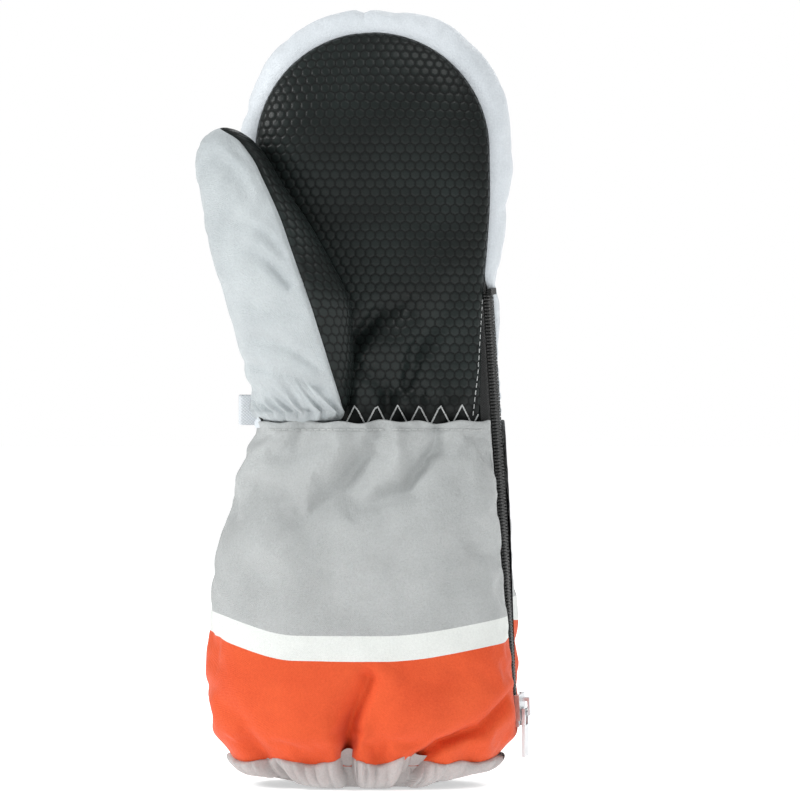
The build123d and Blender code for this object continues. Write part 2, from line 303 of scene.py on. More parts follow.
def honeycomb(u, v):
    """0 in the grooves to 1 on the flat cells of a honeycomb, at flat places in millimetres."""
    rise = CELL * math.sqrt(3) / 2
    best, second = np.full(np.shape(u), 1e9), np.full(np.shape(u), 1e9)
    row = np.round(v / rise)
    for dr in (-1, 0, 1):
        r = row + dr
        shift = 0.5 * CELL * (np.abs(r) % 2)
        column = np.round((u - shift) / CELL)
        for dc in (-1, 0, 1):
            away = np.hypot(u - shift - (column + dc) * CELL, v - r * rise)
            second = np.where(away < best, best, np.minimum(second, away))
            best = np.minimum(best, away)
    return smooth(((second - best) / 2 - GROOVE_HALF) / GROOVE_SLOPE)


# ---------------------------------------------------------------- the hand

# Middle plane, half gap between the palm and back seams, and depth of each face above its seam
HAND_DEPTHS = [
    (128, 0.0, 7.6, 9.0),
    (137, 0.0, 7.8, 9.4),
    (144, 0.0, 9.0, 10.2),
    (156, 0.0, 9.8, 11.0),
    (186, -0.6, 10.4, 11.0),
    (215, -1.5, 10.8, 10.8),
    (247, -4.0, 10.4, 10.4),
    (270, -5.0, 9.0, 8.0),
    (290, -5.5, 7.0, 5.0),
]
DOME_REACH = 34.0  # how far from its seam a face keeps rising
PANEL_RISE = 11.0  # about how high it rises, for its flat size
PANEL_CENTRE_X, PANEL_HALF, PANEL_TOP = 4.5, 44.2, 44.8
PANEL_TOP_Z = 237.0
PANEL_LEFT = [(130, -36.5), (165, -37.0), (200, -38.2), (237, -39.7)]
PANEL_RIGHT = [(130, 45.6), (150, 45.8), (186, 46.6), (200, 47.8), (220, 48.9), (237, 48.7)]


def panel_outline(low_z):
    """The palm's and back's seam line in the XZ plane, clockwise from the lower left."""
    z = np.linspace(low_z, PANEL_TOP_Z, 60)
    left = np.stack([curve(PANEL_LEFT, z), z], -1)
    angle = np.linspace(math.pi, 0, 120)[1:-1]
    top = np.stack([PANEL_CENTRE_X + PANEL_HALF * np.cos(angle), PANEL_TOP_Z + PANEL_TOP * np.sin(angle)], -1)
    right = np.stack([curve(PANEL_RIGHT, z[::-1]), z[::-1]], -1)
    return np.vstack([left, top, right])


def dome(d):
    """Share of its full height that a padded face has at a distance from its seam."""
    return np.sqrt(1 - (1 - np.clip(d / DOME_REACH, 0, 1)) ** 2)


ZIP_LOW_Z = 26.0
ZIP_FOOT, ZIP_LEAN = (58.0, 1.5), (-10.6, -11.1)  # x and y at the chain's foot, and their change to its top


def zip_line(z):
    """Middle of the zip chain (x, y) at a height, the straight line that the slider runs on."""
    t = (z - ZIP_LOW_Z) / (ZIP_TOP_Z - ZIP_LOW_Z)
    return ZIP_FOOT[0] + ZIP_LEAN[0] * t, ZIP_FOOT[1] + ZIP_LEAN[1] * t


def zip_facing(z):
    """Angle of the zip's outward side from +X towards the palm, in radians: it twists along the cuff."""
    return np.radians(8 + 28 * smooth((np.asarray(z, float) - 24) / 100))


ZIP_HALF = 4.6  # half the tape's width that shows on the palm side
ZIP_HALF_BACK = 0.8 * ZIP_HALF


def zip_edge(z, side):
    """Edge of the zip's tape: side 1 towards the palm, -1 towards the back."""
    x, y = zip_line(z)
    a, half = zip_facing(z), ZIP_HALF if side > 0 else ZIP_HALF_BACK
    return x - side * half * np.sin(a), y - side * half * np.cos(a)


def seam_y(z, side):
    """Depth of the palm's (side -1) or back's (side 1) seam line."""
    mid, half, _ = curve(HAND_DEPTHS, z)
    return mid + side * half


def wrist_gather(x, z, seed):
    """Pleats drawn together by the wrist elastic, fading out up the hand."""
    near = hump(z, 143, 5.0) * smooth((z - 135) / 5)
    up = np.exp(-np.clip(z - 144, 0, None) / 12.0) * smooth((z - 135.5) / 7)
    fine = np.cos(2 * math.pi * (x / 7.9 + 0.25 * waves(x, z * 0.3, seed, 30)))
    broad = np.cos(2 * math.pi * (x / 17.0 + 0.35 * waves(x, z * 0.2, seed + 1, 50)))
    return 0.55 * near * fine + 1.1 * up * broad


def hand_face(name, side, spacing, seed, leather):
    """The palm (side -1) or back (side 1) panel: a domed sheet whose flat pattern keeps its true size."""
    outline = panel_outline(WRIST_Z - 1)
    reach = np.linspace(0, DOME_REACH, 400)
    slope = np.gradient(PANEL_RISE * dome(reach), reach)
    extra = np.concatenate([[0], np.cumsum(np.hypot(1, slope[1:]) - 1) * (reach[1] - reach[0])])
    grow = extra[-1]
    edge = resample(outline, 1.0)
    ends = (edge[:, 1] < WRIST_Z + 0.5)
    _, inward = nearest_on(edge, edge + 1e-6)
    flat_outline = resample(edge - inward * np.where(ends, 0.0, grow)[:, None], 1.0)
    flat, faces = fill_outline(flat_outline, spacing)
    x, z = flat.T.copy()
    # Distances from the seam line, without its straight end at the wrist
    flat_line = flat_outline.copy()
    flat_line[:, 1] -= np.where(flat_line[:, 1] < WRIST_Z + 0.5, 60, 0)
    d_flat, n = nearest_on(flat_line, flat)
    along = np.interp(d_flat, reach + extra, reach)
    shift = np.where(d_flat < DOME_REACH + grow, grow + along - d_flat, 0.0)
    x, z = x + n[:, 0] * shift, z + n[:, 1] * shift
    seam, rise = seam_y(z, side), curve(HAND_DEPTHS, z)[2]
    full = seam + side * rise
    d = np.clip(along, 0, None)
    y = seam + (full - seam) * dome(d)
    inside = smooth(d / 12)
    pleats, swell = (1.8, 0.5) if leather else (1.1, 0.9)
    y = y + side * inside * (pleats * wrist_gather(x, z, seed) + swell * waves(x, z, seed + 2, 60))
    if side < 0:
        y = y - 1.3 * palm_folds(x, z) * inside
    verts = np.stack([x, y, z], -1)
    if side > 0:
        faces = [f[::-1] for f in faces]
    normals = point_normals(verts, faces)
    if np.mean(normals[:, 1]) * side < 0:
        faces = [f[::-1] for f in faces]
        normals = -normals
    attributes = {}
    if not leather:
        verts = verts + crumple(verts, faces, 1 - smooth((d - 0.5) / 4), 0.045, 0.4, 0.4, 3.5)
        normals = point_normals(verts, faces)
    if leather:
        cell = honeycomb(flat[:, 0], flat[:, 1])
        # below about z 150 the cells flatten, and the colour this value leads turns towards the grooves' near
        # black: painted shade on the palm's lower part
        cell = cell * (1 - 0.75 * smooth((150 - z) / 14) * smooth(d / 4))
        verts = verts + normals * (CELL_RISE * cell * smooth(d / 1.5))[:, None]
        attributes["cell"] = cell
    # stitch line pulls the seam in
    verts = verts - normals * (0.8 * hump(d, 0, 1.6))[:, None]
    return new_piece(name, verts, faces, attributes)


PALM_FOLDS = [
    ([(-2, 166), (6, 176), (16, 180), (22, 176)], (-3.4, -1.0), (3.2, 4)),
    ([(17, 150), (20, 163), (28, 172), (34, 186)], (-3.2, -0.6), (3.0, 5.5)),
    ([(-4, 158), (4, 154), (10, 147)], (-2.2, -1.2), (3, 3)),
    ([(33, 146), (31, 158), (36, 168)], (-1.8, -0.4), (3, 5)),
    ([(26, 147), (25, 158), (31, 170)], (1.6, 0.8), (3.5, 5)),
]


def palm_folds(x, z):
    """Soft folds of the palm's heel between the thumb's crease and the zip; positive comes forward."""
    out = 3.0 * hump(x, 9, 10) * hump(z, 163, 10) + 1.8 * hump(x, 27, 8) * hump(z, 186, 16)
    return out + folds(x, z, PALM_FOLDS) + 0.6 * waves(x, z, 23, 24) * smooth((190 - z) / 30)


# Gusset bulge beyond the seam line, by share of the way from the lower left over the top to the lower right
GUSSET_WIDTH = [(0, 2.6), (0.15, 3.6), (0.298, 5.2), (0.357, 6.2), (0.43, 8.4), (0.465, 8.8), (0.5, 8.4),
                (0.54, 9.4), (0.596, 10.2), (0.642, 9.2), (0.685, 8.0), (0.74, 7.0), (0.80, 4.6), (0.84, 4.0),
                (0.9, 2.4), (0.95, 1.2), (1.0, 0.4)]
GUSSET_SEAM_X = 1.6


def gusset(name, part):
    """A strip of the side gusset: 0 on the thumb side, 1 on the outer side, down behind the zip."""
    run = resample(panel_outline(WRIST_Z - 1), 1.0)
    start = int(np.argmin(np.hypot(run[:, 0] + 37, run[:, 1] - WRIST_Z + 1)))
    run = np.roll(run, -start, axis=0)
    run = run[: int(np.argmin(np.hypot(run[:, 0] - 45.6, run[:, 1] - WRIST_Z + 1))) + 1]
    d = np.gradient(run, axis=0)
    n = np.stack([-d[:, 1], d[:, 0]], -1) / np.hypot(*d.T)[:, None]
    width = curve(GUSSET_WIDTH, np.linspace(0, 1, len(run)))
    top = int(np.argmin(np.abs(run[:, 0] - GUSSET_SEAM_X) + 1000 * (run[:, 1] < 250)))
    keep = slice(0, top + 1) if part == 0 else slice(top, len(run))
    run, n, width = run[keep], n[keep], width[keep]
    phi = np.linspace(-0.5, 0.5, 37)[None] * math.pi
    x, z = run[:, :1], run[:, 1:]
    front, back = seam_y(z, -1), seam_y(z, 1)
    zip_x, zip_y = zip_edge(z, -1)
    to_zip = (1 - smooth((z - ZIP_TOP_Z + 6) / 12)) * part  # below its top, the strip ends at the zip
    front_x, front_y = x + (zip_x - x) * to_zip, front + (zip_y - front) * to_zip
    bulge = np.abs(np.cos(phi)) ** 0.8
    s = np.arange(len(run))[:, None] * 1.0
    away = (len(run) - 1 - s) if part == 0 else s
    seam = np.exp(-((away / 1.5) ** 2))
    uneven = (waves(s, phi * 8, 31 + part, 22) * 0.45 + waves(s, phi * 6, 35 + part, 9) * 0.15) * bulge
    beat = np.cos(2 * math.pi * (s / 6.5 + 0.4 * waves(s, 0 * s, 38 + part, 30)))
    pucker = 0.2 * beat * (np.abs(phi) / 1.57) ** 1.5 * bulge
    gather = 0.7 * np.exp(-((z - 142) / 10) ** 2) * np.cos(2 * math.pi * z / 5.2) * bulge
    out = width[:, None] * bulge + uneven + pucker + gather - 0.7 * (1 - bulge) - 1.0 * seam
    t = (np.sin(phi) + 1) / 2
    verts = np.stack([front_x + (x - front_x) * t + n[:, :1] * out, front_y + (back - front_y) * t,
                      z + n[:, 1:] * out], -1).reshape(-1, 3)
    faces = [f[::-1] for f in grid_faces(len(run), phi.shape[1])]
    pins = 1 - smooth((1.45 - np.abs(phi)) / 0.3) * smooth(np.minimum(s, len(run) - 1 - s) / 3)
    return new_piece(name, verts + crumple(verts, faces, pins, 0.015, 0.15, 0.5, 0.7), faces)


# ---------------------------------------------------------------- the thumb

# Height, centre x and y, long and short half widths
THUMB_SECTIONS = [
    (130, -21.5, -5.0, 16.0, 10.0),
    (137, -21.8, -7.6, 17.2, 12.0),
    (143, -22.0, -10.5, 18.6, 13.6),
    (150, -22.4, -14.5, 20.0, 15.0),
    (165, -23.8, -21.5, 22.4, 15.8),
    (180, -26.4, -27.5, 24.4, 15.8),
    (195, -32.0, -30.0, 22.6, 14.8),
    (210, -38.2, -29.5, 19.8, 13.8),
    (225, -44.5, -28.0, 16.0, 12.4),
    (235, -48.0, -27.0, 13.4, 11.0),
    (246, -50.0, -26.5, 11.0, 9.0),
]
THUMB_TURN = math.radians(-28)
THUMB_LOW, THUMB_TOP = 134.0, 244.6
THUMB_ROUND = 15.0  # length of the rounded tip
# Height and x of the seam towards the palm
THUMB_SEAM = [(130, -3.2), (143.7, -6.4), (157, -10.6), (170.4, -14.8), (184, -19.2), (197, -23.8),
              (210.5, -28.4), (224, -34.4), (234, -39.6), (240, -45.0), (243, -50.0), (246, -54.0)]


def thumb_section(z):
    """Centre x and y, and the long and short half widths, of the thumb at a height."""
    x, y, long, short = curve(THUMB_SECTIONS, z)
    tip = np.clip((z - (THUMB_TOP - THUMB_ROUND)) / THUMB_ROUND, 0, 1)
    shrink = np.sqrt(np.clip(1 - tip**2.3, 0, 1)) * (1 - 0.4 * smooth((137.6 - z) / 3.4))
    return x, y, long * shrink, short * shrink


def thumb_seams(z):
    """Angles of the front and back seams round the thumb's section."""
    x, _, long, short = thumb_section(z)
    a, b = long * math.cos(THUMB_TURN), -short * math.sin(THUMB_TURN)
    lead = np.arctan2(b, a)
    ratio = np.clip((curve(THUMB_SEAM, z) - x) / np.maximum(np.hypot(a, b), 0.2), -0.6, 0.97)
    front = lead - np.arccos(ratio)
    return front, front + math.radians(158)


def thumb_point(angle, z):
    x, y, long, short = thumb_section(z)
    u, v = long * np.cos(angle), short * np.sin(angle)
    c, s = math.cos(THUMB_TURN), math.sin(THUMB_TURN)
    return np.stack([x + u * c - v * s, y + u * s + v * c, z + 0 * angle], -1)


def thumb_rows(count):
    """Heights, closer together towards the tip."""
    t = np.linspace(0, 1, count)
    return THUMB_LOW + (THUMB_TOP - 0.02 - THUMB_LOW) * np.sin(t * math.pi / 2) ** 0.92


THUMB_FOLDS = [
    ([(-43, 158), (-30, 154), (-12, 149)], (-2.0, -2.4), (2.2, 1.6)),
    ([(-38, 167), (-26, 163), (-15, 156)], (-1.0, -2.0), (2.8, 1.8)),
    ([(-44, 200), (-34, 195), (-25, 186)], (-1.0, -3.2), (2.8, 1.7)),
    ([(-40, 208), (-33, 203), (-27, 197)], (-0.8, -2.2), (2.6, 1.6)),
    ([(-46, 181), (-33, 177), (-21, 176)], (-0.8, -1.8), (3.6, 2.8)),
    ([(-52, 232), (-44, 224), (-37, 213)], (-1.2, -0.8), (3.5, 3.5)),
]


def thumb_outer():
    """Pale outer side of the thumb, from the back seam round the left to the front seam."""
    rows, columns = 150, 110
    z = thumb_rows(rows)[:, None]
    front, back = thumb_seams(z)
    t = np.linspace(0, 1, columns)[None]
    angle = back + (front + 2 * math.pi - back) * t
    verts = thumb_point(angle, z + 0 * t)
    x, zz = verts[..., 0], verts[..., 2]
    edge = np.minimum(t, 1 - t) * 2 * np.maximum(thumb_section(z)[2], 2) * 1.3
    inside = smooth(edge / 7)
    up = np.exp(-np.clip(zz - 141, 0, None) / 6.0)
    around = t * 75
    pleat = np.cos(2 * math.pi * (around / 7.0 + 0.3 * waves(around, zz * 0.3, 5, 25)))
    pleat = 0.7 * pleat + 0.5 * np.cos(2 * math.pi * (around / 4.3 + 0.8 * waves(around, zz, 6, 16)))
    puff = 1.2 * up * pleat * smooth((zz - 135) / 4) + 1.3 * hump(zz, 141, 3.6) * (0.7 + 0.3 * pleat)
    puff = puff - 1.1 * hump(zz, 148.5, 2.6)
    ripple = 0.6 * waves(around, zz, 8, 30) + 0.25 * waves(around, zz, 9, 11) + folds(x, zz, THUMB_FOLDS)
    puff = puff + ripple * (0.25 + 0.75 * smooth(np.abs(np.sin(angle + THUMB_TURN)) / 0.6))
    n = np.stack([np.cos(angle + THUMB_TURN), np.sin(angle + THUMB_TURN), 0 * angle], -1)
    tip = smooth((THUMB_TOP - zz) / 8)
    verts = verts + n * ((puff * inside - 0.9 * (1 - smooth(edge / 1.8))) * tip)[..., None]
    pins = 1 - smooth((edge - 0.5) / 4) * smooth((zz - 142) / 6) * smooth((THUMB_TOP - zz) / 5)
    some, every = (slice(None, None, 2),) * 2, np.mgrid[0:rows, 0:columns]
    coarse = verts[some]
    moves = crumple(coarse, grid_faces(*coarse.shape[:2]), pins[some], 0.03, 0.1, 0.35, 1.8)
    verts = verts + sample(moves.reshape(coarse.shape), every[0] / 2, every[1] / 2)
    return new_piece("thumb_outer_skin", verts.reshape(-1, 3), grid_faces(rows, columns))


def thumb_inner():
    """Honeycomb inner side of the thumb, against the palm."""
    z = np.linspace(THUMB_LOW, THUMB_TOP - 0.05, 240)
    front, back = thumb_seams(z)
    _, _, long, short = thumb_section(z)
    half = (back - front) * (long + short) / 4
    outline = np.vstack([np.stack([-half, z], -1), np.stack([half, z], -1)[::-1]])
    flat, faces = fill_outline(outline, CELL_MESH)
    zz = np.clip(flat[:, 1], THUMB_LOW, THUMB_TOP - 0.05)
    wide = np.interp(zz, z, half)
    t = np.clip(flat[:, 0] / np.maximum(wide, 0.05), -1, 1) * 0.5 + 0.5
    front, back = thumb_seams(zz)
    angle = front + (back - front) * t
    verts = thumb_point(angle, zz)
    edge = np.minimum(t, 1 - t) * 2 * wide
    n = np.stack([np.cos(angle + THUMB_TURN), np.sin(angle + THUMB_TURN), 0 * angle], -1)
    cell = honeycomb(flat[:, 0], flat[:, 1])
    tip = smooth((THUMB_TOP - zz) / 6)
    lift = CELL_RISE * cell * smooth(edge / 1.5) - 0.9 * (1 - smooth(edge / 1.8))
    lift = lift + 0.4 * waves(flat[:, 0], zz, 12, 30)
    verts = verts + n * (lift * tip)[:, None]
    normals = point_normals(verts, faces)
    if np.mean(np.sum(normals * n, 1)) < 0:
        faces = [f[::-1] for f in faces]
    return new_piece("thumb_inner_skin", verts, faces, {"cell": cell})


# ---------------------------------------------------------------- the cuff

# Height, left x, right x, half depth
CUFF_SECTIONS = [
    (9, -46.5, 50.0, 24.0),
    (14, -51.0, 54.5, 27.0),
    (20, -54.4, 57.4, 29.2),
    (32, -56.6, 60.4, 30.4),
    (50, -57.0, 60.8, 30.2),
    (70, -55.6, 59.8, 29.0),
    (90, -52.4, 58.0, 27.2),
    (110, -47.4, 55.4, 24.6),
    (125, -42.4, 53.2, 23.0),
    (133, -39.9, 50.8, 22.9),
    (137, -39.6, 50.0, 23.0),
]
CUFF_TOP = 136.0
BAND_LOW, BAND_WIDTH = 50.5, 8.8


def cuff_ring(angle, z):
    """A point of the cuff at an angle round it, 0 at the thumb side and 90 at the palm, with no folds."""
    left, right, deep = curve(CUFF_SECTIONS, z)
    c, s = np.cos(angle), np.sin(angle)
    square = 2.3
    x = -np.sign(c) * np.abs(c) ** (2 / square)
    y = -np.sign(s) * np.abs(s) ** (2 / square)
    return np.stack([(left + right) / 2 + x * (right - left) / 2, y * deep, z + 0 * angle], -1)


def ring_angles(start, end, count):
    """Angles from start to end whose points on the cuff are about evenly spaced."""
    fine = np.linspace(start, end, 2000)
    p = cuff_ring(fine, np.full(2000, 60.0))
    run = np.concatenate([[0], np.cumsum(np.linalg.norm(np.diff(p, axis=0), axis=1))])
    return np.interp(np.linspace(0, run[-1], count), run, fine)


BACK_FOLDS = [
    ([(-20, 12), (-22, 30), (-14, 44)], (-4.5, -0.8), (3.5, 8)),
    ([(18, 12), (24, 30), (36, 40)], (-3.6, -0.5), (3.5, 7)),
    ([(-8, 134), (-12, 116), (-4, 100)], (-2.2, -0.5), (3, 8)),
    ([(24, 134), (20, 118), (26, 104)], (-2.4, -0.5), (3, 8)),
]
FRONT_FOLDS = [
    ([(5.5, 137), (4, 126), (-6, 111), (-18, 96)], (-4.2, -2.2), (3.0, 8)),
    ([(30, 137), (28, 125), (17, 112), (7, 106)], (-4.0, -2.0), (2.8, 6)),
    ([(22, 137), (22, 128), (19, 121)], (-2.4, -0.6), (2.4, 4)),
    ([(-22, 137), (-24, 126), (-29, 112)], (-2.2, -0.6), (3, 7)),
    ([(15, 131), (9, 117), (-4, 100)], (1.4, 1.6), (4, 8)),
    ([(-10, 130), (-22, 110), (-34, 90)], (1.2, 2.0), (5, 9)),
    ([(34, 120), (29, 104), (30, 88)], (1.0, 1.6), (5, 9)),
    ([(41, 130), (36, 116)], (-2.0, -0.4), (3, 5)),
    ([(-5.8, 10), (-4.6, 22), (-1.2, 33), (3.0, 43)], (-9.5, -4.6), (2.1, 3.7)),
    ([(-7, 46), (2, 48), (12, 44)], (0.8, 0.8), (4, 4)),
    ([(6, 14), (5, 28), (9, 37)], (-1.6, -1.0), (3.0, 5)),
    ([(20.2, 11), (29, 18.5), (44, 24), (57, 35)], (-6.4, -2.8), (2.4, 3.2)),
    ([(-36, 10), (-42.5, 27), (-50, 38)], (-3.0, -1.2), (2.8, 5)),
    ([(-20, 12), (-24, 22)], (-1.6, -0.3), (3, 4)),
    ([(-20, 22), (-22, 36)], (1.8, 1.0), (10, 12)),
    ([(22, 30), (24, 42)], (2.0, 1.0), (10, 10)),
]


def cuff_folds(x, z, side):
    """Lift of the cuff's cloth on its palm side (0) or back (1): end gathers and large folds."""
    out = 0.9 * waves(x, z, 40 + side, 55) * smooth((z - 20) / 20) * smooth((132 - z) / 20)
    top = np.exp(-np.clip(CUFF_TOP - z, 0, None) / 13.0)
    low = np.exp(-np.clip(z - 13, 0, None) / 11.0)
    pleat = np.cos(2 * math.pi * (x / 13.5 + 0.35 * waves(x, z * 0.2, 44 + side, 40)))
    out = out + 1.2 * top * pleat * smooth((CUFF_TOP - z) / 4 + 0.3)
    gather = np.cos(2 * math.pi * (x / 15.0 + 0.35 * waves(x, z * 0.2, 47 + side, 45)))
    out = out + 1.1 * low * gather
    if side > 0:
        return out + folds(x, z, BACK_FOLDS)
    strength = 1.15 + 0.2 * smooth((z - 50) / 15) - 0.45 * smooth((z - 122) / 10)
    return out + strength * folds(x, z, FRONT_FOLDS)


def hem_line(x, front):
    """Height of the seam between cuff and hem: it rises at the puckers and sags between them."""
    puckers = [(-36, 2.2), (-6, 3.4), (20, 3.6)] if front else [(-24, 3), (4, 2.2), (30, 3)]
    out = HEM_SEAM_Z - 2.6 + 0 * x
    for at, high in puckers:
        out = out + high * hump(x, at, 4.5)
    return out + 0.5 * np.cos(x / 2.3)


def band_line(x, front):
    """Height of the white band's lower edge."""
    if front:
        return BAND_LOW - 1.2 + 9.5 * smooth((-x - 22) / 42) + 6.5 * smooth((x - 8) / 60)
    return BAND_LOW + 7.7 + 3.3 * smooth((x - 15) / 40)


# Where each side of the cuff starts and ends round it: True is the palm side
CUFF_EDGES = {True: (-0.10, math.pi - 0.13), False: (math.pi + 0.09, 2 * math.pi - 0.10)}


def cuff_surface(angle, z, front):
    """The cuff's outer face, its cloth folded, and drawn to the zip's edge where it meets it."""
    side = 0 if front else 1
    p = cuff_ring(angle, z)
    ahead = cuff_ring(angle + 0.01, z) - p
    n = np.stack([ahead[..., 1], -ahead[..., 0], 0 * angle], -1)
    n /= np.maximum(np.linalg.norm(n, axis=-1, keepdims=True), 1e-9)
    a, b = CUFF_EDGES[front]
    edge = b if front else a
    at_edge = cuff_ring(edge + 0 * angle, z)
    from_zip = np.linalg.norm(p - at_edge, axis=-1)
    seam = a if front else b
    from_seam = np.linalg.norm(p - cuff_ring(seam + 0 * angle, z), axis=-1)
    lift = cuff_folds(p[..., 0], z, side)
    lift = lift * (0.12 + 0.88 * smooth(from_zip / 12)) * (0.3 + 0.7 * smooth(from_seam / 8))
    lift = lift - 0.7 * np.exp(-((from_seam / 1.5) ** 2))
    if not front:  # the back stands out beyond the zip
        fades = smooth((z - 20) / 10) * (1 - smooth((z - 104) / 14))
        lift = lift + 2.8 * smooth(from_zip / 7) * (1 - smooth((from_zip - 8) / 22)) * fades
    half = 0.3 + (ZIP_HALF - 0.3) * smooth((z - 20) / 8)
    zip_x, zip_y = zip_line(z)
    # below the zip the two sides meet on the cuff's own outline
    zip_x = zip_x + (curve(CUFF_SECTIONS, z)[1] - 0.6 - zip_x) * smooth((21.5 - z) / 7.5)
    a = zip_facing(z)
    s = 1 if front else -1
    target = np.stack([zip_x - s * half * np.sin(a) + 0.5, zip_y - s * half * np.cos(a), z + 0 * angle], -1)
    pull = np.exp(-((from_zip / (6.0 if front else 4.0)) ** 2))[..., None]
    return p + n * lift[..., None] + (target - at_edge) * pull


CUFF_ROWS, CUFF_COLUMNS = 84, 150  # the grid that is simulated
CUFF_LOW = 13.0
cuff_moves = {}


def crumple_cuff():
    """Simulates both sides of the cuff, held at the wrist, the hem, the zip and the thumb-side seam."""
    for front in (True, False):
        angle = ring_angles(*CUFF_EDGES[front], CUFF_COLUMNS)[None]
        z = np.linspace(CUFF_LOW, CUFF_TOP, CUFF_ROWS)[:, None]
        grid = cuff_surface(angle + 0 * z, z + 0 * angle, front)
        row = np.minimum(np.arange(CUFF_ROWS), np.arange(CUFF_ROWS)[::-1])[:, None]
        column = np.minimum(np.arange(CUFF_COLUMNS), np.arange(CUFF_COLUMNS)[::-1])[None]
        pins = np.clip(1 - np.minimum(row, column) / 3.0, 0, 1)
        moves = crumple(grid, grid_faces(CUFF_ROWS, CUFF_COLUMNS), pins, 0.06, 0.5, 0.5, 4.5)
        cuff_moves[front] = (angle[0], moves.reshape(grid.shape))


def cuff_cloth(angle, z, front):
    """The folded cuff with its simulated crumpling."""
    p = cuff_surface(angle, z, front)
    angles, moves = cuff_moves[front]
    u = (z - CUFF_LOW) / (CUFF_TOP - CUFF_LOW) * (CUFF_ROWS - 1)
    v = np.interp(angle, angles, np.arange(CUFF_COLUMNS))
    return p + sample(moves, u, v)


def cuff_side(front):
    """One side of the cuff: three pieces, coloured orange, white and grey, cut from one folded surface."""
    word = "palm" if front else "back"
    columns = 220
    angle = ring_angles(*CUFF_EDGES[front], columns)[None]
    x = cuff_ring(angle, 60.0 + 0 * angle)[..., 0]
    low, band = hem_line(x, front), band_line(x, front)
    top = CUFF_TOP + 0.5 * np.sin(x / 3.1) + 0.4 * np.sin(x / 7.0)
    made = {}
    for colour, bottom, upper, rows in (
        ("orange", low, band, 70),
        ("white", band, band + BAND_WIDTH, 16),
        ("grey", band + BAND_WIDTH, top, 120),
    ):
        t = np.linspace(0, 1, rows)[:, None]
        z = bottom + (upper - bottom) * t
        p = cuff_cloth(angle + 0 * z, z, front)
        if colour == "grey":  # the top edge is turned in
            centre = np.array([6.0, 0.0])
            inward = centre - p[-1, :, :2]
            inward /= np.linalg.norm(inward, axis=1, keepdims=True)
            for step, down in ((0.25, 0.35), (0.9, 0.5), (1.5, 0.1), (2.4, -1.6), (4.4, -3.0), (5.6, -5.0)):
                row = p[rows - 1].copy()
                row[:, :2] += inward * step
                row[:, 2] += down
                p = np.concatenate([p, row[None]])
        if colour == "orange":  # tucked in at the hem's seam
            row = p[0].copy()
            row[:, :2] *= 0.97
            row[:, 2] -= 0.8
            p = np.concatenate([hem_ring(angle, 9.0, -4.1), row[None], p])  # down behind the binding
        name = "cuff_%s_%s_cloth" % (word, colour)
        made[colour] = new_piece(name, p.reshape(-1, 3), grid_faces(len(p), columns))
    return made


# Height, left x, right x, half depth
HEM_SECTIONS = [(-3, -36, 40, 18), (0, -40, 43, 20.5), (4, -44.5, 48, 23), (9, -47.6, 51.4, 25),
                (14, -50, 54, 26.8), (20, -53, 56, 28)]
# Where the hem puckers: x, width, depth, and 1 on the palm side or -1 on the back
PUCKERS = [(-36, 2.5, 3.0, 1), (-41, 2.0, 2.2, 1), (-5, 3.0, 5.4, 1), (21, 3.2, 5.8, 1),
           (38, 2.6, 1.6, 1), (-24, 3, 3.4, -1), (4, 3, 2.6, -1), (30, 3.2, 3.8, -1)]


def hem_ring(angle, z, offset):
    """A point of the hem at an angle round it, moved outwards by offset."""
    left, right, deep = curve(HEM_SECTIONS, z)
    c, s = np.cos(angle), np.sin(angle)
    x = -np.sign(c) * np.abs(c) ** (2 / 2.3)
    y = -np.sign(s) * np.abs(s) ** (2 / 2.3)
    half = (right - left) / 2
    return np.stack([(left + right) / 2 + x * (half + offset), y * (deep + offset), z + 0 * angle], -1)


def hem_bottom(x):
    """Height of the hem's lower edge, which lifts at both sides."""
    return 0.6 + 3.6 * smooth((-x - 18) / 32) + 4.6 * smooth((x - 28) / 28)


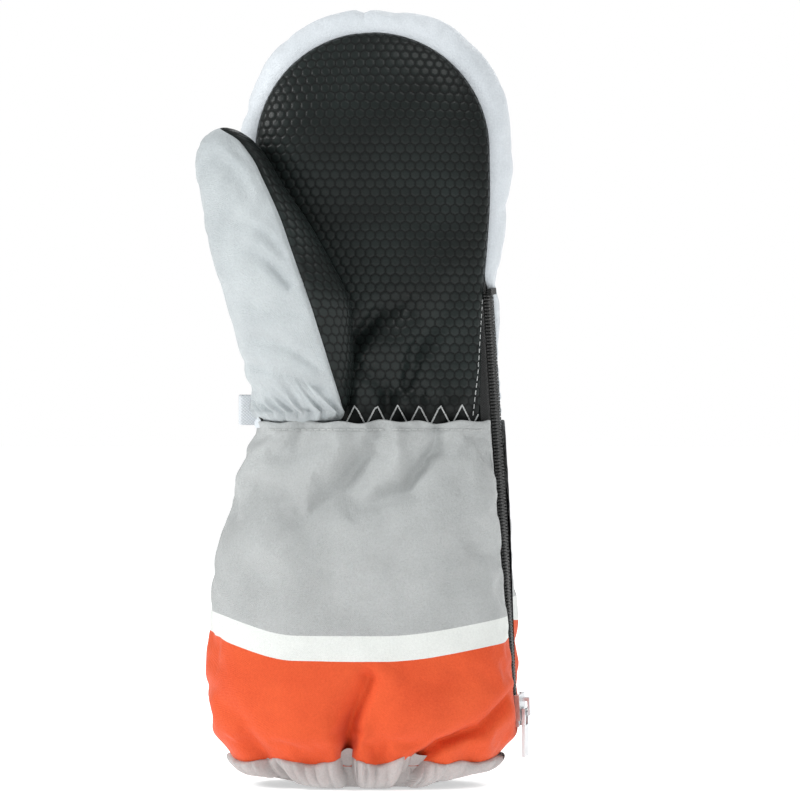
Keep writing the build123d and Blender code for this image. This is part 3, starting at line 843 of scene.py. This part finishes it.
def hem():
    """The hem binding: a gathered tube whose cloth puckers where the elastic in it pulls hardest."""
    rows, columns = 46, 600
    angle = ring_angles(0, 2 * math.pi, columns + 1)[None, :-1]
    x = cuff_ring(angle, 30.0 + 0 * angle)[..., 0]
    front = np.sin(angle) > 0
    top = np.where(front, hem_line(x, True), hem_line(x, False))
    # the two lines meet at the sides
    blend_in = smooth(np.abs(np.sin(angle)) / 0.25)
    top = HEM_SEAM_Z - 1.2 + (top - HEM_SEAM_Z + 1.2) * blend_in
    bottom = hem_bottom(x)
    # share of the height, distance out from the ring
    profile = [(1.04, -2.4), (1.0, -0.7), (0.93, 0.4), (0.8, 1.2), (0.6, 1.6), (0.42, 1.4), (0.25, 0.8),
               (0.1, -0.2), (0.02, -1.2), (0.0, -2.2), (0.05, -3.2), (0.2, -4.0), (0.45, -4.4), (0.8, -4.4),
               (1.2, -4.2)]
    steps = [(i, s, o) for i, (s, o) in enumerate(profile)]
    share, out = curve(steps, np.linspace(0, len(profile) - 1, rows))
    share, out = share[:, None], out[:, None]
    z = bottom + (top - bottom) * share
    pucker = 0
    for at, wide, deep, face in PUCKERS:
        pucker = pucker + deep * hump(x, at, wide) * (np.sign(np.sin(angle)) == face)
    beat = x / 5.4 + 0.5 * waves(x, 3.0 * np.sign(np.sin(angle)), 61, 30)
    fine = 1.1 * (np.abs(np.cos(math.pi * beat)) ** 0.6 - 0.7)
    swell = np.clip(out + 2.4, 0, None) / 4.0
    tight = 1 + 1.6 * (hump(x, -5, 9) + hump(x, 21, 9))
    close = hump(x, -5, 6) + hump(x, 21, 6) + hump(x, -38, 6)
    beat = x / 2.9 + 0.4 * waves(x, z * 0.3, 62, 20)
    creases = 1.5 * close * (np.abs(np.cos(math.pi * beat)) ** 0.5 - 0.75)
    lift = out + (fine * tight + creases) * swell - pucker * (0.45 + 0.55 * swell) * (out > -3)
    lift = lift + 0.5 * waves(x, z, 63, 20) * swell
    verts = hem_ring(angle, z, lift)
    # the seam follows the folds of the cuff's cloth
    on_cuff = np.where(front[..., None], cuff_surface(angle, top, True), cuff_surface(angle, top, False))
    at_seam = hem_ring(angle, top, -0.9 - pucker * 0.5)
    weight = (smooth(share) ** 1.5 * (out > -2.5))[..., None]
    verts = verts + (on_cuff - at_seam) * weight * [1, 1, 0]
    verts[..., 2] += 0.6 * pucker * (1 - share) * (out > -3)
    verts[..., 2] = np.maximum(verts[..., 2], 0.15)
    faces = [f[::-1] for f in grid_faces(rows, columns, True)]
    return new_piece("hem_binding_cloth", verts.reshape(-1, 3), faces)


def lining():
    """The lining seen through the open cuff, from the hem's facing up to its closed end in the hand."""
    columns, rows = 160, 60
    angle = ring_angles(0, 2 * math.pi, columns + 1)[None, :-1]
    z = np.linspace(8.0, 138.0, rows)[:, None]
    above_hem = smooth((z - 10) / 9)
    inset = 4.6 + 4.4 * smooth((z - 90) / 20) + 5.0 * smooth((56 - z) / 20) * above_hem
    inset = inset + 0.8 * waves(angle * 18, z, 71, 30) * above_hem
    left, right, _ = curve(CUFF_SECTIONS, np.clip(z, 9, 137))
    close = np.sqrt(np.clip(1 - (np.clip(z - 118, 0, None) / 20.2) ** 2, 0.0, 1))
    p = cuff_ring(angle + 0 * z, np.clip(z, 9, 137) + 0 * angle)
    x0 = (left + right) / 2
    # room for the deep folds of the orange band, and for the zip
    at, low = p[..., 0], smooth((z - 8) / 3) * (np.sin(angle) > 0)
    inset = inset + 6.0 * hump(at, -4, 7) * low * smooth((48 - z) / 12)
    inset = inset + 5.0 * hump(at, 21, 6) * low * smooth((26 - z) / 8)
    x = x0 + (at - x0) * (1 - inset / 50) * close - 4.0 * smooth((at - x0 - 20) / 30) * above_hem
    verts = np.stack([x, p[..., 1] * (1 - inset / 28) * close, z + 0 * angle], -1)
    return new_piece("lining_cloth", verts.reshape(-1, 3), grid_faces(rows, columns, True))


# ---------------------------------------------------------------- threads, coils and tapes


def capsules(name, starts, ends, radius, flat=1.0, normals=None):
    """Many small round-ended rods in one mesh; flat squeezes them along the given normals."""
    starts, ends = np.asarray(starts, float), np.asarray(ends, float)
    axis = ends - starts
    length = np.linalg.norm(axis, axis=1, keepdims=True)
    axis = axis / np.maximum(length, 1e-9)
    if normals is None:
        normals = np.tile([0.0, -1.0, 0.0], (len(axis), 1))
    up = normals - axis * np.sum(normals * axis, 1, keepdims=True)
    up /= np.maximum(np.linalg.norm(up, axis=1, keepdims=True), 1e-9)
    side = np.cross(axis, up)
    sides = 8
    # end of the rod, distance along it and radius, in radii
    rings = [(0, -0.85, 0.5), (0, -0.35, 0.92), (0, 0.1, 1.0),
             (1, -0.1, 1.0), (1, 0.35, 0.92), (1, 0.85, 0.5)]
    turn = np.arange(sides) * 2 * math.pi / sides
    blocks = [starts - axis * radius]
    for end, ahead, wide in rings:
        base = (starts if end == 0 else ends) + axis * radius * ahead
        for a in turn:
            blocks.append(base + (side * math.cos(a) + up * math.sin(a) * flat) * radius * wide)
    blocks.append(ends + axis * radius)
    verts = np.stack(blocks, 1)
    per = verts.shape[1]
    local = [(0, 1 + (k + 1) % sides, 1 + k) for k in range(sides)]
    for r in range(len(rings) - 1):
        for k in range(sides):
            a, b = 1 + r * sides + k, 1 + r * sides + (k + 1) % sides
            local.append((a, b, b + sides, a + sides))
    last = 1 + (len(rings) - 1) * sides
    local += [(last + k, last + (k + 1) % sides, per - 1) for k in range(sides)]
    faces = [tuple(i * per + v for v in f) for i in range(len(starts)) for f in local]
    return new_piece(name, verts.reshape(-1, 3), faces)


def along(points, at):
    """Places at given distances along a polyline, and its whole length."""
    points = np.asarray(points, float)
    run = np.concatenate([[0], np.cumsum(np.linalg.norm(np.diff(points, axis=0), axis=1))])
    return np.stack([np.interp(at, run, points[:, k]) for k in range(points.shape[1])], -1), run[-1]


class Surface:
    """Ray casts onto finished pieces, to lay threads on them."""

    def __init__(self, *pieces):
        verts, faces = [], []
        for piece in pieces:
            base = len(verts)
            verts += [tuple(v.co) for v in piece.data.vertices]
            faces += [tuple(base + i for i in f.vertices) for f in piece.data.polygons]
        self.tree = BVHTree.FromPolygons(verts, faces)

    def place(self, point, direction):
        """Where a ray from far outside meets the surface, in millimetres, and the surface's normal there."""
        d = Vector(direction).normalized()
        start = Vector([c * MM for c in point]) - d * 0.2
        hit, normal, _, _ = self.tree.ray_cast(start, d)
        if hit is None:
            return None
        if normal.dot(d) > 0:
            normal = -normal
        return np.array(hit) / MM, np.array(normal)


def stitch_line(name, surface, route, pitch, share, radius, direction=(0, 1, 0), lift=0.15):
    """A row of stitches laid on a surface under a route of points seen along a direction."""
    _, total = along(route, [0])
    starts, ends, normals = [], [], []
    at = np.arange(0, total - pitch * share, pitch)
    a, _ = along(route, at)
    b, _ = along(route, at + pitch * share)
    for p, q in zip(a, b):
        one, two = surface.place(p, direction), surface.place(q, direction)
        if one and two and np.linalg.norm(one[0] - two[0]) < 1.5 * pitch * share:
            n = one[1] + two[1]
            n = n / np.linalg.norm(n)
            starts.append(one[0] + n * lift)
            ends.append(two[0] + n * lift)
            normals.append(n)
    return capsules(name, starts, ends, radius, 0.8, np.array(normals))


def zip_frame(z):
    """Centre, direction across towards the palm, and direction outward of the zip chain at a height."""
    x, y = zip_line(z)
    a = zip_facing(z)
    centre = np.stack([x, y, z], -1)
    across = np.stack([-np.sin(a), -np.cos(a), 0 * z], -1)
    outward = np.stack([np.cos(a), -np.sin(a), 0 * z], -1)
    return centre, across, outward


TAPE_THICK = 0.7
TOOTH_PITCH, TOOTH_RADIUS = 1.25, 0.46


def zip_parts():
    """Two woven tapes, two rows of coil teeth and the rows of sewing that hold them."""
    made = {}
    rows, columns = 180, 14
    for side, word in ((1, "palm"), (-1, "back")):
        z = np.linspace(ZIP_LOW_Z - 2, ZIP_TOP_Z + 3, rows)
        centre, across, outward = zip_frame(z)
        # beyond tuck, the tape goes under the cloth
        tuck, under_cloth = (ZIP_HALF - 0.8, 3.2) if side > 0 else (ZIP_HALF_BACK - 0.5, 1.6)
        width = np.linspace(0.25, tuck + under_cloth, columns)[None, :, None]
        dip = -0.5 - (0.5 if side > 0 else 1.1) * np.clip(width - tuck, 0, None)
        p = centre[:, None] + across[:, None] * width * side + outward[:, None] * dip
        under = p - outward[:, None] * TAPE_THICK
        faces = grid_faces(rows, columns)
        if side > 0:
            faces = [f[::-1] for f in faces]
        verts = np.concatenate([p.reshape(-1, 3), under.reshape(-1, 3)])
        faces = faces + [tuple(v + rows * columns for v in f[::-1]) for f in faces]
        made["tape_" + word] = new_piece("zip_tape_%s_weave" % word, verts, faces)
        z = np.arange(ZIP_LOW_Z + 1.5, ZIP_TOP_Z - 1.0, TOOTH_PITCH) + (0.5 * TOOTH_PITCH if side > 0 else 0)
        centre, across, outward = zip_frame(z)
        rise = outward * 0.55
        starts = centre + across * side * 2.75 + outward * 0.05
        middle = centre + across * side * 1.3 + rise + np.array([0, 0, 0.1])
        ends = centre - across * side * 0.55 + outward * 0.35
        made["coil_" + word] = capsules(
            "zip_coil_%s_teeth" % word, np.concatenate([starts, middle]), np.concatenate([middle, ends]),
            TOOTH_RADIUS, 0.9, np.concatenate([outward, outward]),
        )
        line = np.arange(ZIP_LOW_Z, ZIP_TOP_Z - 1, 1.5)
        centre, across, outward = zip_frame(line)
        p = centre + across * side * 2.15 + outward * 0.62
        made["thread_" + word] = capsules("zip_thread_%s" % word, p, p + [0, 0, 1.0], 0.16, 0.8, outward)
    return made


LOOP_HALF_THICK = 0.42


def wrist_tab():
    """The loop of woven tape at the thumb side of the wrist, folded flat and sewn into the seam."""
    low, high = frame_box["wrist_loop"]
    root_x, root_y = high[0] + 1.0, (low[1] + high[1]) / 2
    gap, long = 1.5, high[0] - low[0] - 1.2  # half the space between the loop's two runs, and their length
    path = [(root_x - t * long, root_y - gap - 0.2 * math.sin(t * math.pi)) for t in np.linspace(0, 1, 12)]
    bend = np.linspace(0, math.pi, 12)[1:-1]
    path += [(low[0] + 2.2 - 1.7 * math.sin(a), root_y - gap * math.cos(a)) for a in bend]
    path += [(root_x - t * long, root_y + gap + 0.2 * math.sin(t * math.pi)) for t in np.linspace(1, 0, 12)]
    path = np.array(path)
    d = np.gradient(path, axis=0)
    n = np.stack([-d[:, 1], d[:, 0]], -1) / np.hypot(*d.T)[:, None]
    rows = np.linspace(low[2], high[2], 14)
    sheets = []
    for offset in (LOOP_HALF_THICK, -LOOP_HALF_THICK):
        for z in rows:
            edge = min(z - rows[0], rows[-1] - z)
            thin = 0.75 + 0.25 * min(1.0, edge / 0.8)
            height = np.full(len(path), z + 0.25 * math.sin(z))
            sheets.append(np.column_stack([path + n * offset * thin, height]))
    k, m = len(path), len(rows)
    verts = np.concatenate(sheets)
    faces = grid_faces(m, k)
    back = [tuple(v + k * m for v in f[::-1]) for f in faces]
    rim = []
    for c in range(k - 1):
        rim.append((c + 1, c, c + k * m, c + 1 + k * m))
        t = (m - 1) * k
        rim.append((t + c, t + c + 1, t + c + 1 + k * m, t + c + k * m))
    piece = new_piece("wrist_loop_tape", verts, faces + back + rim)
    top = np.column_stack([path, np.full(k, rows[-1] + 0.12)])
    line = capsules("wrist_loop_edge_thread", top[1:-2], top[2:-1], 0.26, 0.8)
    return piece, line


# ---------------------------------------------------------------- materials


def rgb(r, g, b):
    """Linear colour from sRGB given out of 255."""
    out = []
    for c in (r, g, b):
        c /= 255
        out.append(c / 12.92 if c <= 0.04045 else ((c + 0.055) / 1.055) ** 2.4)
    return (*out, 1.0)


class Material:
    """A Principled material with small helpers for the nodes that every fabric here shares."""

    def __init__(self, name, roughness, sheen=0.0, specular=0.5, metallic=0.0):
        self.mat = bpy.data.materials.new(name)
        self.mat.use_nodes = True
        self.tree = self.mat.node_tree
        self.shader = self.tree.nodes["Principled BSDF"]
        for socket, value in (("Roughness", roughness), ("Sheen Weight", sheen), ("Sheen Roughness", 0.4),
                              ("Specular IOR Level", specular), ("Metallic", metallic)):
            self.shader.inputs[socket].default_value = value
        self.place = self.node("ShaderNodeTexCoord").outputs["Object"]

    def node(self, kind, **values):
        made = self.tree.nodes.new(kind)
        for key, value in values.items():
            if key in made.inputs:
                made.inputs[key].default_value = value
            else:
                setattr(made, key, value)
        return made

    def link(self, a, b):
        self.tree.links.new(a, b)

    def noise(self, scale, detail=2.0, rough=0.5, vector=None):
        made = self.node("ShaderNodeTexNoise", Scale=scale, Detail=detail, Roughness=rough)
        self.link(vector or self.place, made.inputs["Vector"])
        return made.outputs["Fac"]

    def weave(self, period):
        """Over and under pattern of two sets of threads, at about a thread per period, in metres."""
        split = self.node("ShaderNodeSeparateXYZ")
        self.link(self.place, split.inputs[0])
        across = self.math("ADD", split.outputs["X"], split.outputs["Y"])
        waves_ = []
        for value in (across, split.outputs["Z"]):
            scaled = self.math("MULTIPLY", value, 2 * math.pi / period)
            waves_.append(self.math("SINE", scaled))
        return self.math("MULTIPLY", *waves_)

    def math(self, operation, a, b=None):
        made = self.node("ShaderNodeMath", operation=operation)
        for socket, value in zip(made.inputs, (a, b)):
            if value is None:
                continue
            if isinstance(value, (int, float)):
                socket.default_value = value
            else:
                self.link(value, socket)
        return made.outputs[0]

    def ramp(self, value, low, high, out_low, out_high):
        made = self.node("ShaderNodeMapRange")
        self.link(value, made.inputs["Value"])
        for key, number in (("From Min", low), ("From Max", high), ("To Min", out_low), ("To Max", out_high)):
            made.inputs[key].default_value = number
        return made.outputs["Result"]

    def mix(self, value, dark, light):
        made = self.node("ShaderNodeMix", data_type="RGBA")
        self.link(value, made.inputs["Factor"])
        for socket, c in ((made.inputs[6], dark), (made.inputs[7], light)):
            if isinstance(c, tuple):
                socket.default_value = c
            else:
                self.link(c, socket)
        return made.outputs[2]

    def colour(self, output):
        self.link(output, self.shader.inputs["Base Color"])

    def roughness(self, output):
        self.link(output, self.shader.inputs["Roughness"])

    def bump(self, height, distance, strength=1.0, after=None):
        made = self.node("ShaderNodeBump", Strength=strength, Distance=distance)
        self.link(height, made.inputs["Height"])
        if after:
            self.link(after, made.inputs["Normal"])
        self.link(made.outputs["Normal"], self.shader.inputs["Normal"])
        return made.outputs["Normal"]


THREAD = 0.0007  # a shell thread and its gap, in metres


def fabric(name, dark, light, roughness, sheen, crepe=0.35, grain=1500.0):
    """Synthetic shell cloth: fine weave, crepe-like grain and soft colour variation."""
    m = Material(name, roughness, sheen, 0.3)
    patches = m.ramp(m.noise(45.0, 3.0), 0.35, 0.65, 0.0, 1.0)
    grains = m.noise(grain, 3.0, 0.7)
    grains = m.ramp(grains, 0.3, 0.7, 0.0, 1.0)
    value = m.math("ADD", m.math("MULTIPLY", patches, 0.45), m.math("MULTIPLY", grains, 0.55))
    m.colour(m.mix(value, rgb(*dark), rgb(*light)))
    first = m.bump(m.noise(850.0, 4.0, 0.7), 0.0008, crepe)
    m.bump(m.weave(THREAD), 0.00010, 0.5, first)
    return m.mat


def leather(name):
    """Coated leather: worn, smoother cells above grooves painted near black as shade, with a fine grain."""
    m = Material(name, 0.5, 0.0, 0.18)
    cell = m.node("ShaderNodeAttribute", attribute_name="cell").outputs["Fac"]
    worn = m.ramp(m.noise(35.0, 3.0), 0.35, 0.7, 0.0, 1.0)
    top = m.mix(worn, rgb(21, 26, 25), rgb(33, 40, 39))
    # painted shade: the grooves between the cells are coloured near black, as shade in the recesses
    m.colour(m.mix(cell, rgb(6, 7, 7), top))
    fine = m.ramp(m.noise(2600.0, 3.0, 0.7), 0.3, 0.7, -0.05, 0.05)
    m.roughness(m.math("ADD", m.ramp(cell, 0.0, 1.0, 0.7, 0.33), fine))
    m.bump(m.noise(2200.0, 3.0, 0.65), 0.00012, 0.35)
    return m.mat


def plain_weave(name, dark, light, period, roughness=0.8, depth=0.0002, sheen=0.2):
    """Coarse woven tape or thread."""
    m = Material(name, roughness, sheen, 0.3)
    threads = m.weave(period)
    m.colour(m.mix(m.ramp(threads, -1.0, 1.0, 0.0, 1.0), rgb(*dark), rgb(*light)))
    m.bump(threads, depth, 0.8)
    return m.mat


def moulded(name, dark, light, roughness, metallic=0.0):
    """Moulded nylon or cast metal, a little uneven."""
    m = Material(name, roughness, 0.0, 0.5, metallic)
    m.colour(m.mix(m.noise(300.0, 3.0), rgb(*dark), rgb(*light)))
    m.bump(m.noise(1800.0, 2.0), 0.00004, 0.3)
    return m.mat


MATERIALS = {
    # painted shade: the thumb gets a darker copy of the hand back's pale shell cloth, dimming it where the
    # key lamp lights it most
    "thumb": fabric("thumb_shell_cloth_painted_darker", (166, 173, 176), (192, 199, 201), 0.6, 0.2, crepe=0.7),
    "leather": leather("embossed_palm_leather"),
    "light": fabric("light_shell_cloth", (194, 201, 206), (219, 225, 230), 0.62, 0.2, crepe=0.5),
    "grey": fabric("grey_shell_cloth", (158, 161, 161), (185, 189, 189), 0.52, 0.2, crepe=0.75),
    "white": fabric("white_shell_cloth", (210, 214, 211), (230, 234, 231), 0.7, 0.12),
    "orange": fabric("orange_shell_cloth", (204, 70, 30), (226, 92, 46), 0.7, 0.08),
    "hem": fabric("grey_binding_cloth", (162, 160, 159), (191, 188, 187), 0.7, 0.15),
    "lining": fabric("brushed_lining", (70, 72, 76), (96, 99, 104), 0.9, 0.5, crepe=0.7, grain=700.0),
    "tape": plain_weave("zip_tape_weave", (20, 21, 21), (38, 40, 40), 0.0009),
    "loop": plain_weave("loop_tape_weave", (188, 193, 198), (222, 227, 231), 0.0011, sheen=0.3),
    "coil": moulded("coil_nylon", (14, 15, 15), (26, 28, 27), 0.34),
    "thread": plain_weave("pale_thread", (176, 180, 180), (214, 217, 216), 0.0006, 0.7),
    "dark_thread": plain_weave("dark_thread", (36, 38, 42), (60, 63, 68), 0.0006, 0.7),
    "metal": moulded("slider_metal", (196, 198, 200), (222, 224, 226), 0.34, 0.85),
}


def finish_piece(piece, material, replaced=(), body=None, blended=None):
    """Gives a piece its material, hides the frame's parts that it replaces, and hangs it on a body, or bakes
    its place into its points when it is blended.
    """
    piece.data.materials.clear()
    piece.data.materials.append(MATERIALS[material])
    if replaced:
        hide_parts(*replaced)
    if blended:
        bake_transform(piece)
    else:
        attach(piece, body or "shell")


# ---------------------------------------------------------------- the mitten

frame_box = {n: [[c / MM for c in corner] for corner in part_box(n)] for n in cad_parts}
# Two bodies and two points, in metres, for a piece that crosses a joint; finish_piece uses them only to bake
# the piece in place
FINGERS = ("shell", "fingertip", (0.0, 0.0, 0.236), (0.0, 0.0, 0.262))
THUMB = ("shell", "thumb", (-0.022, -0.012, 0.150), (-0.027, -0.027, 0.180))

palm = hand_face("palm_leather_skin", -1, CELL_MESH, 3, True)
back = hand_face("hand_back_cloth", 1, 1.3, 17, False)
inner_gusset = gusset("gusset_thumb_side_cloth", 0)
outer_gusset = gusset("gusset_outer_side_cloth", 1)
thumb_shell, thumb_leather = thumb_outer(), thumb_inner()
crumple_cuff()
cuff_palm, cuff_back = cuff_side(True), cuff_side(False)
binding, inside = hem(), lining()
zip_made = zip_parts()
tab, tab_line = wrist_tab()

finish_piece(palm, "leather", ("palm_panel", "palm_panel_tip"), blended=FINGERS)
finish_piece(back, "light",
             ("hand_back_panel", "hand_back_tip", "hand_wadding", "wadding_tip", "hand_lining", "lining_tip",
              "wrist_elastic"), blended=FINGERS)
finish_piece(inner_gusset, "light", ("gusset_thumb_side", "gusset_thumb_side_tip"),
             blended=FINGERS)
finish_piece(outer_gusset, "light", ("gusset_outer_side", "gusset_outer_side_tip"),
             blended=FINGERS)
finish_piece(thumb_shell, "thumb",
             ("thumb_back_panel", "thumb_back_base", "thumb_wadding", "thumb_lining"),
             blended=THUMB)
finish_piece(thumb_leather, "leather", ("thumb_palm_panel",), blended=THUMB)
for colour, slot in (("grey", "grey_fabric"), ("white", "white_fabric"), ("orange", "orange_fabric")):
    nodes = {"grey": "panel", "white": "white_band", "orange": "orange_band"}[colour]
    finish_piece(cuff_palm[colour], colour, ("cuff_palm_" + nodes,))
    finish_piece(cuff_back[colour], colour, ("cuff_back_" + nodes,))
finish_piece(binding, "hem", ("hem_binding", "hem_facing", "hem_elastic"))
finish_piece(inside, "lining", ("cuff_lining", "cuff_padding"))
for word in ("palm", "back"):
    finish_piece(zip_made["tape_" + word], "tape", ("zip_tape_" + word,))
    finish_piece(zip_made["coil_" + word], "coil", ("zip_coil_" + word,))
    finish_piece(zip_made["thread_" + word], "coil")
finish_piece(tab, "loop", ("wrist_loop",), body="loop")
finish_piece(tab_line, "dark_thread", body="loop")

hand_surface = Surface(palm, thumb_shell)
ZIGZAG_LEFT, ZIGZAG_STEP, ZIGZAG_LOW, ZIGZAG_HIGH = -5.8, 3.95, 134.8, 142.6
zigzag = [(ZIGZAG_LEFT + i * ZIGZAG_STEP, 0, ZIGZAG_HIGH if i % 2 else ZIGZAG_LOW) for i in range(14)]
zigzag_row = stitch_line("wrist_zigzag_stitches", hand_surface, zigzag, 2.75, 0.82, 0.3)
finish_piece(zigzag_row, "thread")
beside_zip = [(45.2, 0, 181.6), (43.6, 0, 155), (41.6, 0, 137)]
edge_row = stitch_line("palm_edge_stitches", hand_surface, beside_zip, 2.6, 0.52, 0.2)
finish_piece(edge_row, "thread")
cuff_cloths = Surface(cuff_palm["grey"], cuff_back["grey"])
below_top = [(x, 0, CUFF_TOP - 2.6) for x in range(-36, 48, 2)]
for word, towards in (("palm", (0, 1, 0)), ("back", (0, -1, 0))):
    row = stitch_line("cuff_top_stitches_" + word, cuff_cloths, below_top, 2.4, 0.66, 0.25, towards, 0.3)
    finish_piece(row, "thread")

for name, material in (("zip_slider", "metal"), ("zip_pull", "metal"), ("zip_end_stops", "metal"),
                       ("zip_finger_stop", "tape"), ("zip_guard", "tape")):
    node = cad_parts[name]
    node.data.materials.clear()
    node.data.materials.append(MATERIALS[material])

# ---------------------------------------------------------------- floor, light and camera


def stage():
    """A wide pale floor."""
    side = np.linspace(-9000, 9000, 13)
    x, y = np.meshgrid(side, side)
    floor = new_piece("studio_floor", np.stack([x, y, 0 * x], -1).reshape(-1, 3), grid_faces(13, 13))
    m = Material("studio_paper", 0.9, 0.0, 0.1)
    m.colour(m.mix(m.noise(3.0), rgb(248, 248, 248), rgb(252, 252, 252)))
    m.shader.inputs["Emission Color"].default_value = (1.0, 1.0, 1.0, 1.0)
    m.shader.inputs["Emission Strength"].default_value = 0.54
    floor.data.materials.append(m.mat)


stage()


def area_light(name, place, target, size, power):
    data = bpy.data.lights.new(name, "AREA")
    data.shape, data.size, data.size_y, data.energy = "RECTANGLE", size[0], size[1], power
    lamp = bpy.data.objects.new(name, data)
    lamp.location = place
    lamp.rotation_euler = (Vector(target) - Vector(place)).to_track_quat("-Z", "Y").to_euler()
    bpy.context.scene.collection.objects.link(lamp)


CENTRE = (0.0, 0.0, 0.15)
area_light("key", (-1.05, -0.5, 0.75), CENTRE, (0.35, 0.35), 8.5)
area_light("overhead", (0.4, -0.55, 1.05), CENTRE, (0.5, 0.5), 3.6)
area_light("rim", (0.5, 0.9, 0.9), CENTRE, (1.0, 0.6), 7.0)
world = bpy.data.worlds.new("studio")
world.use_nodes = True
background = world.node_tree.nodes["Background"]
background.inputs["Color"].default_value = (1.0, 1.0, 1.0, 1.0)
seen = world.node_tree.nodes.new("ShaderNodeLightPath")
strength = world.node_tree.nodes.new("ShaderNodeMapRange")  # plain white behind the object, softer as a light
strength.inputs["To Min"].default_value, strength.inputs["To Max"].default_value = 0.5, 1.0
world.node_tree.links.new(seen.outputs["Is Camera Ray"], strength.inputs["Value"])
world.node_tree.links.new(strength.outputs["Result"], background.inputs["Strength"])
bpy.context.scene.world = world
bpy.context.scene.view_settings.view_transform = "Standard"

# Width of the picture at the palm's depth and its middle, in metres; lens and sensor in millimetres
PICTURE_WIDTH, PICTURE_X, PALM_Y, PICTURE_Z = 0.297, 0.0147, -0.015, 0.1444
LENS, SENSOR = 150.0, 36.0
camera = bpy.data.objects.new("camera", bpy.data.cameras.new("camera"))
camera.data.lens, camera.data.sensor_width = LENS, SENSOR
camera.location = (PICTURE_X, PALM_Y - PICTURE_WIDTH * LENS / SENSOR, PICTURE_Z)
camera.rotation_euler = (math.pi / 2, 0, 0)
bpy.context.scene.collection.objects.link(camera)
bpy.context.scene.camera = camera
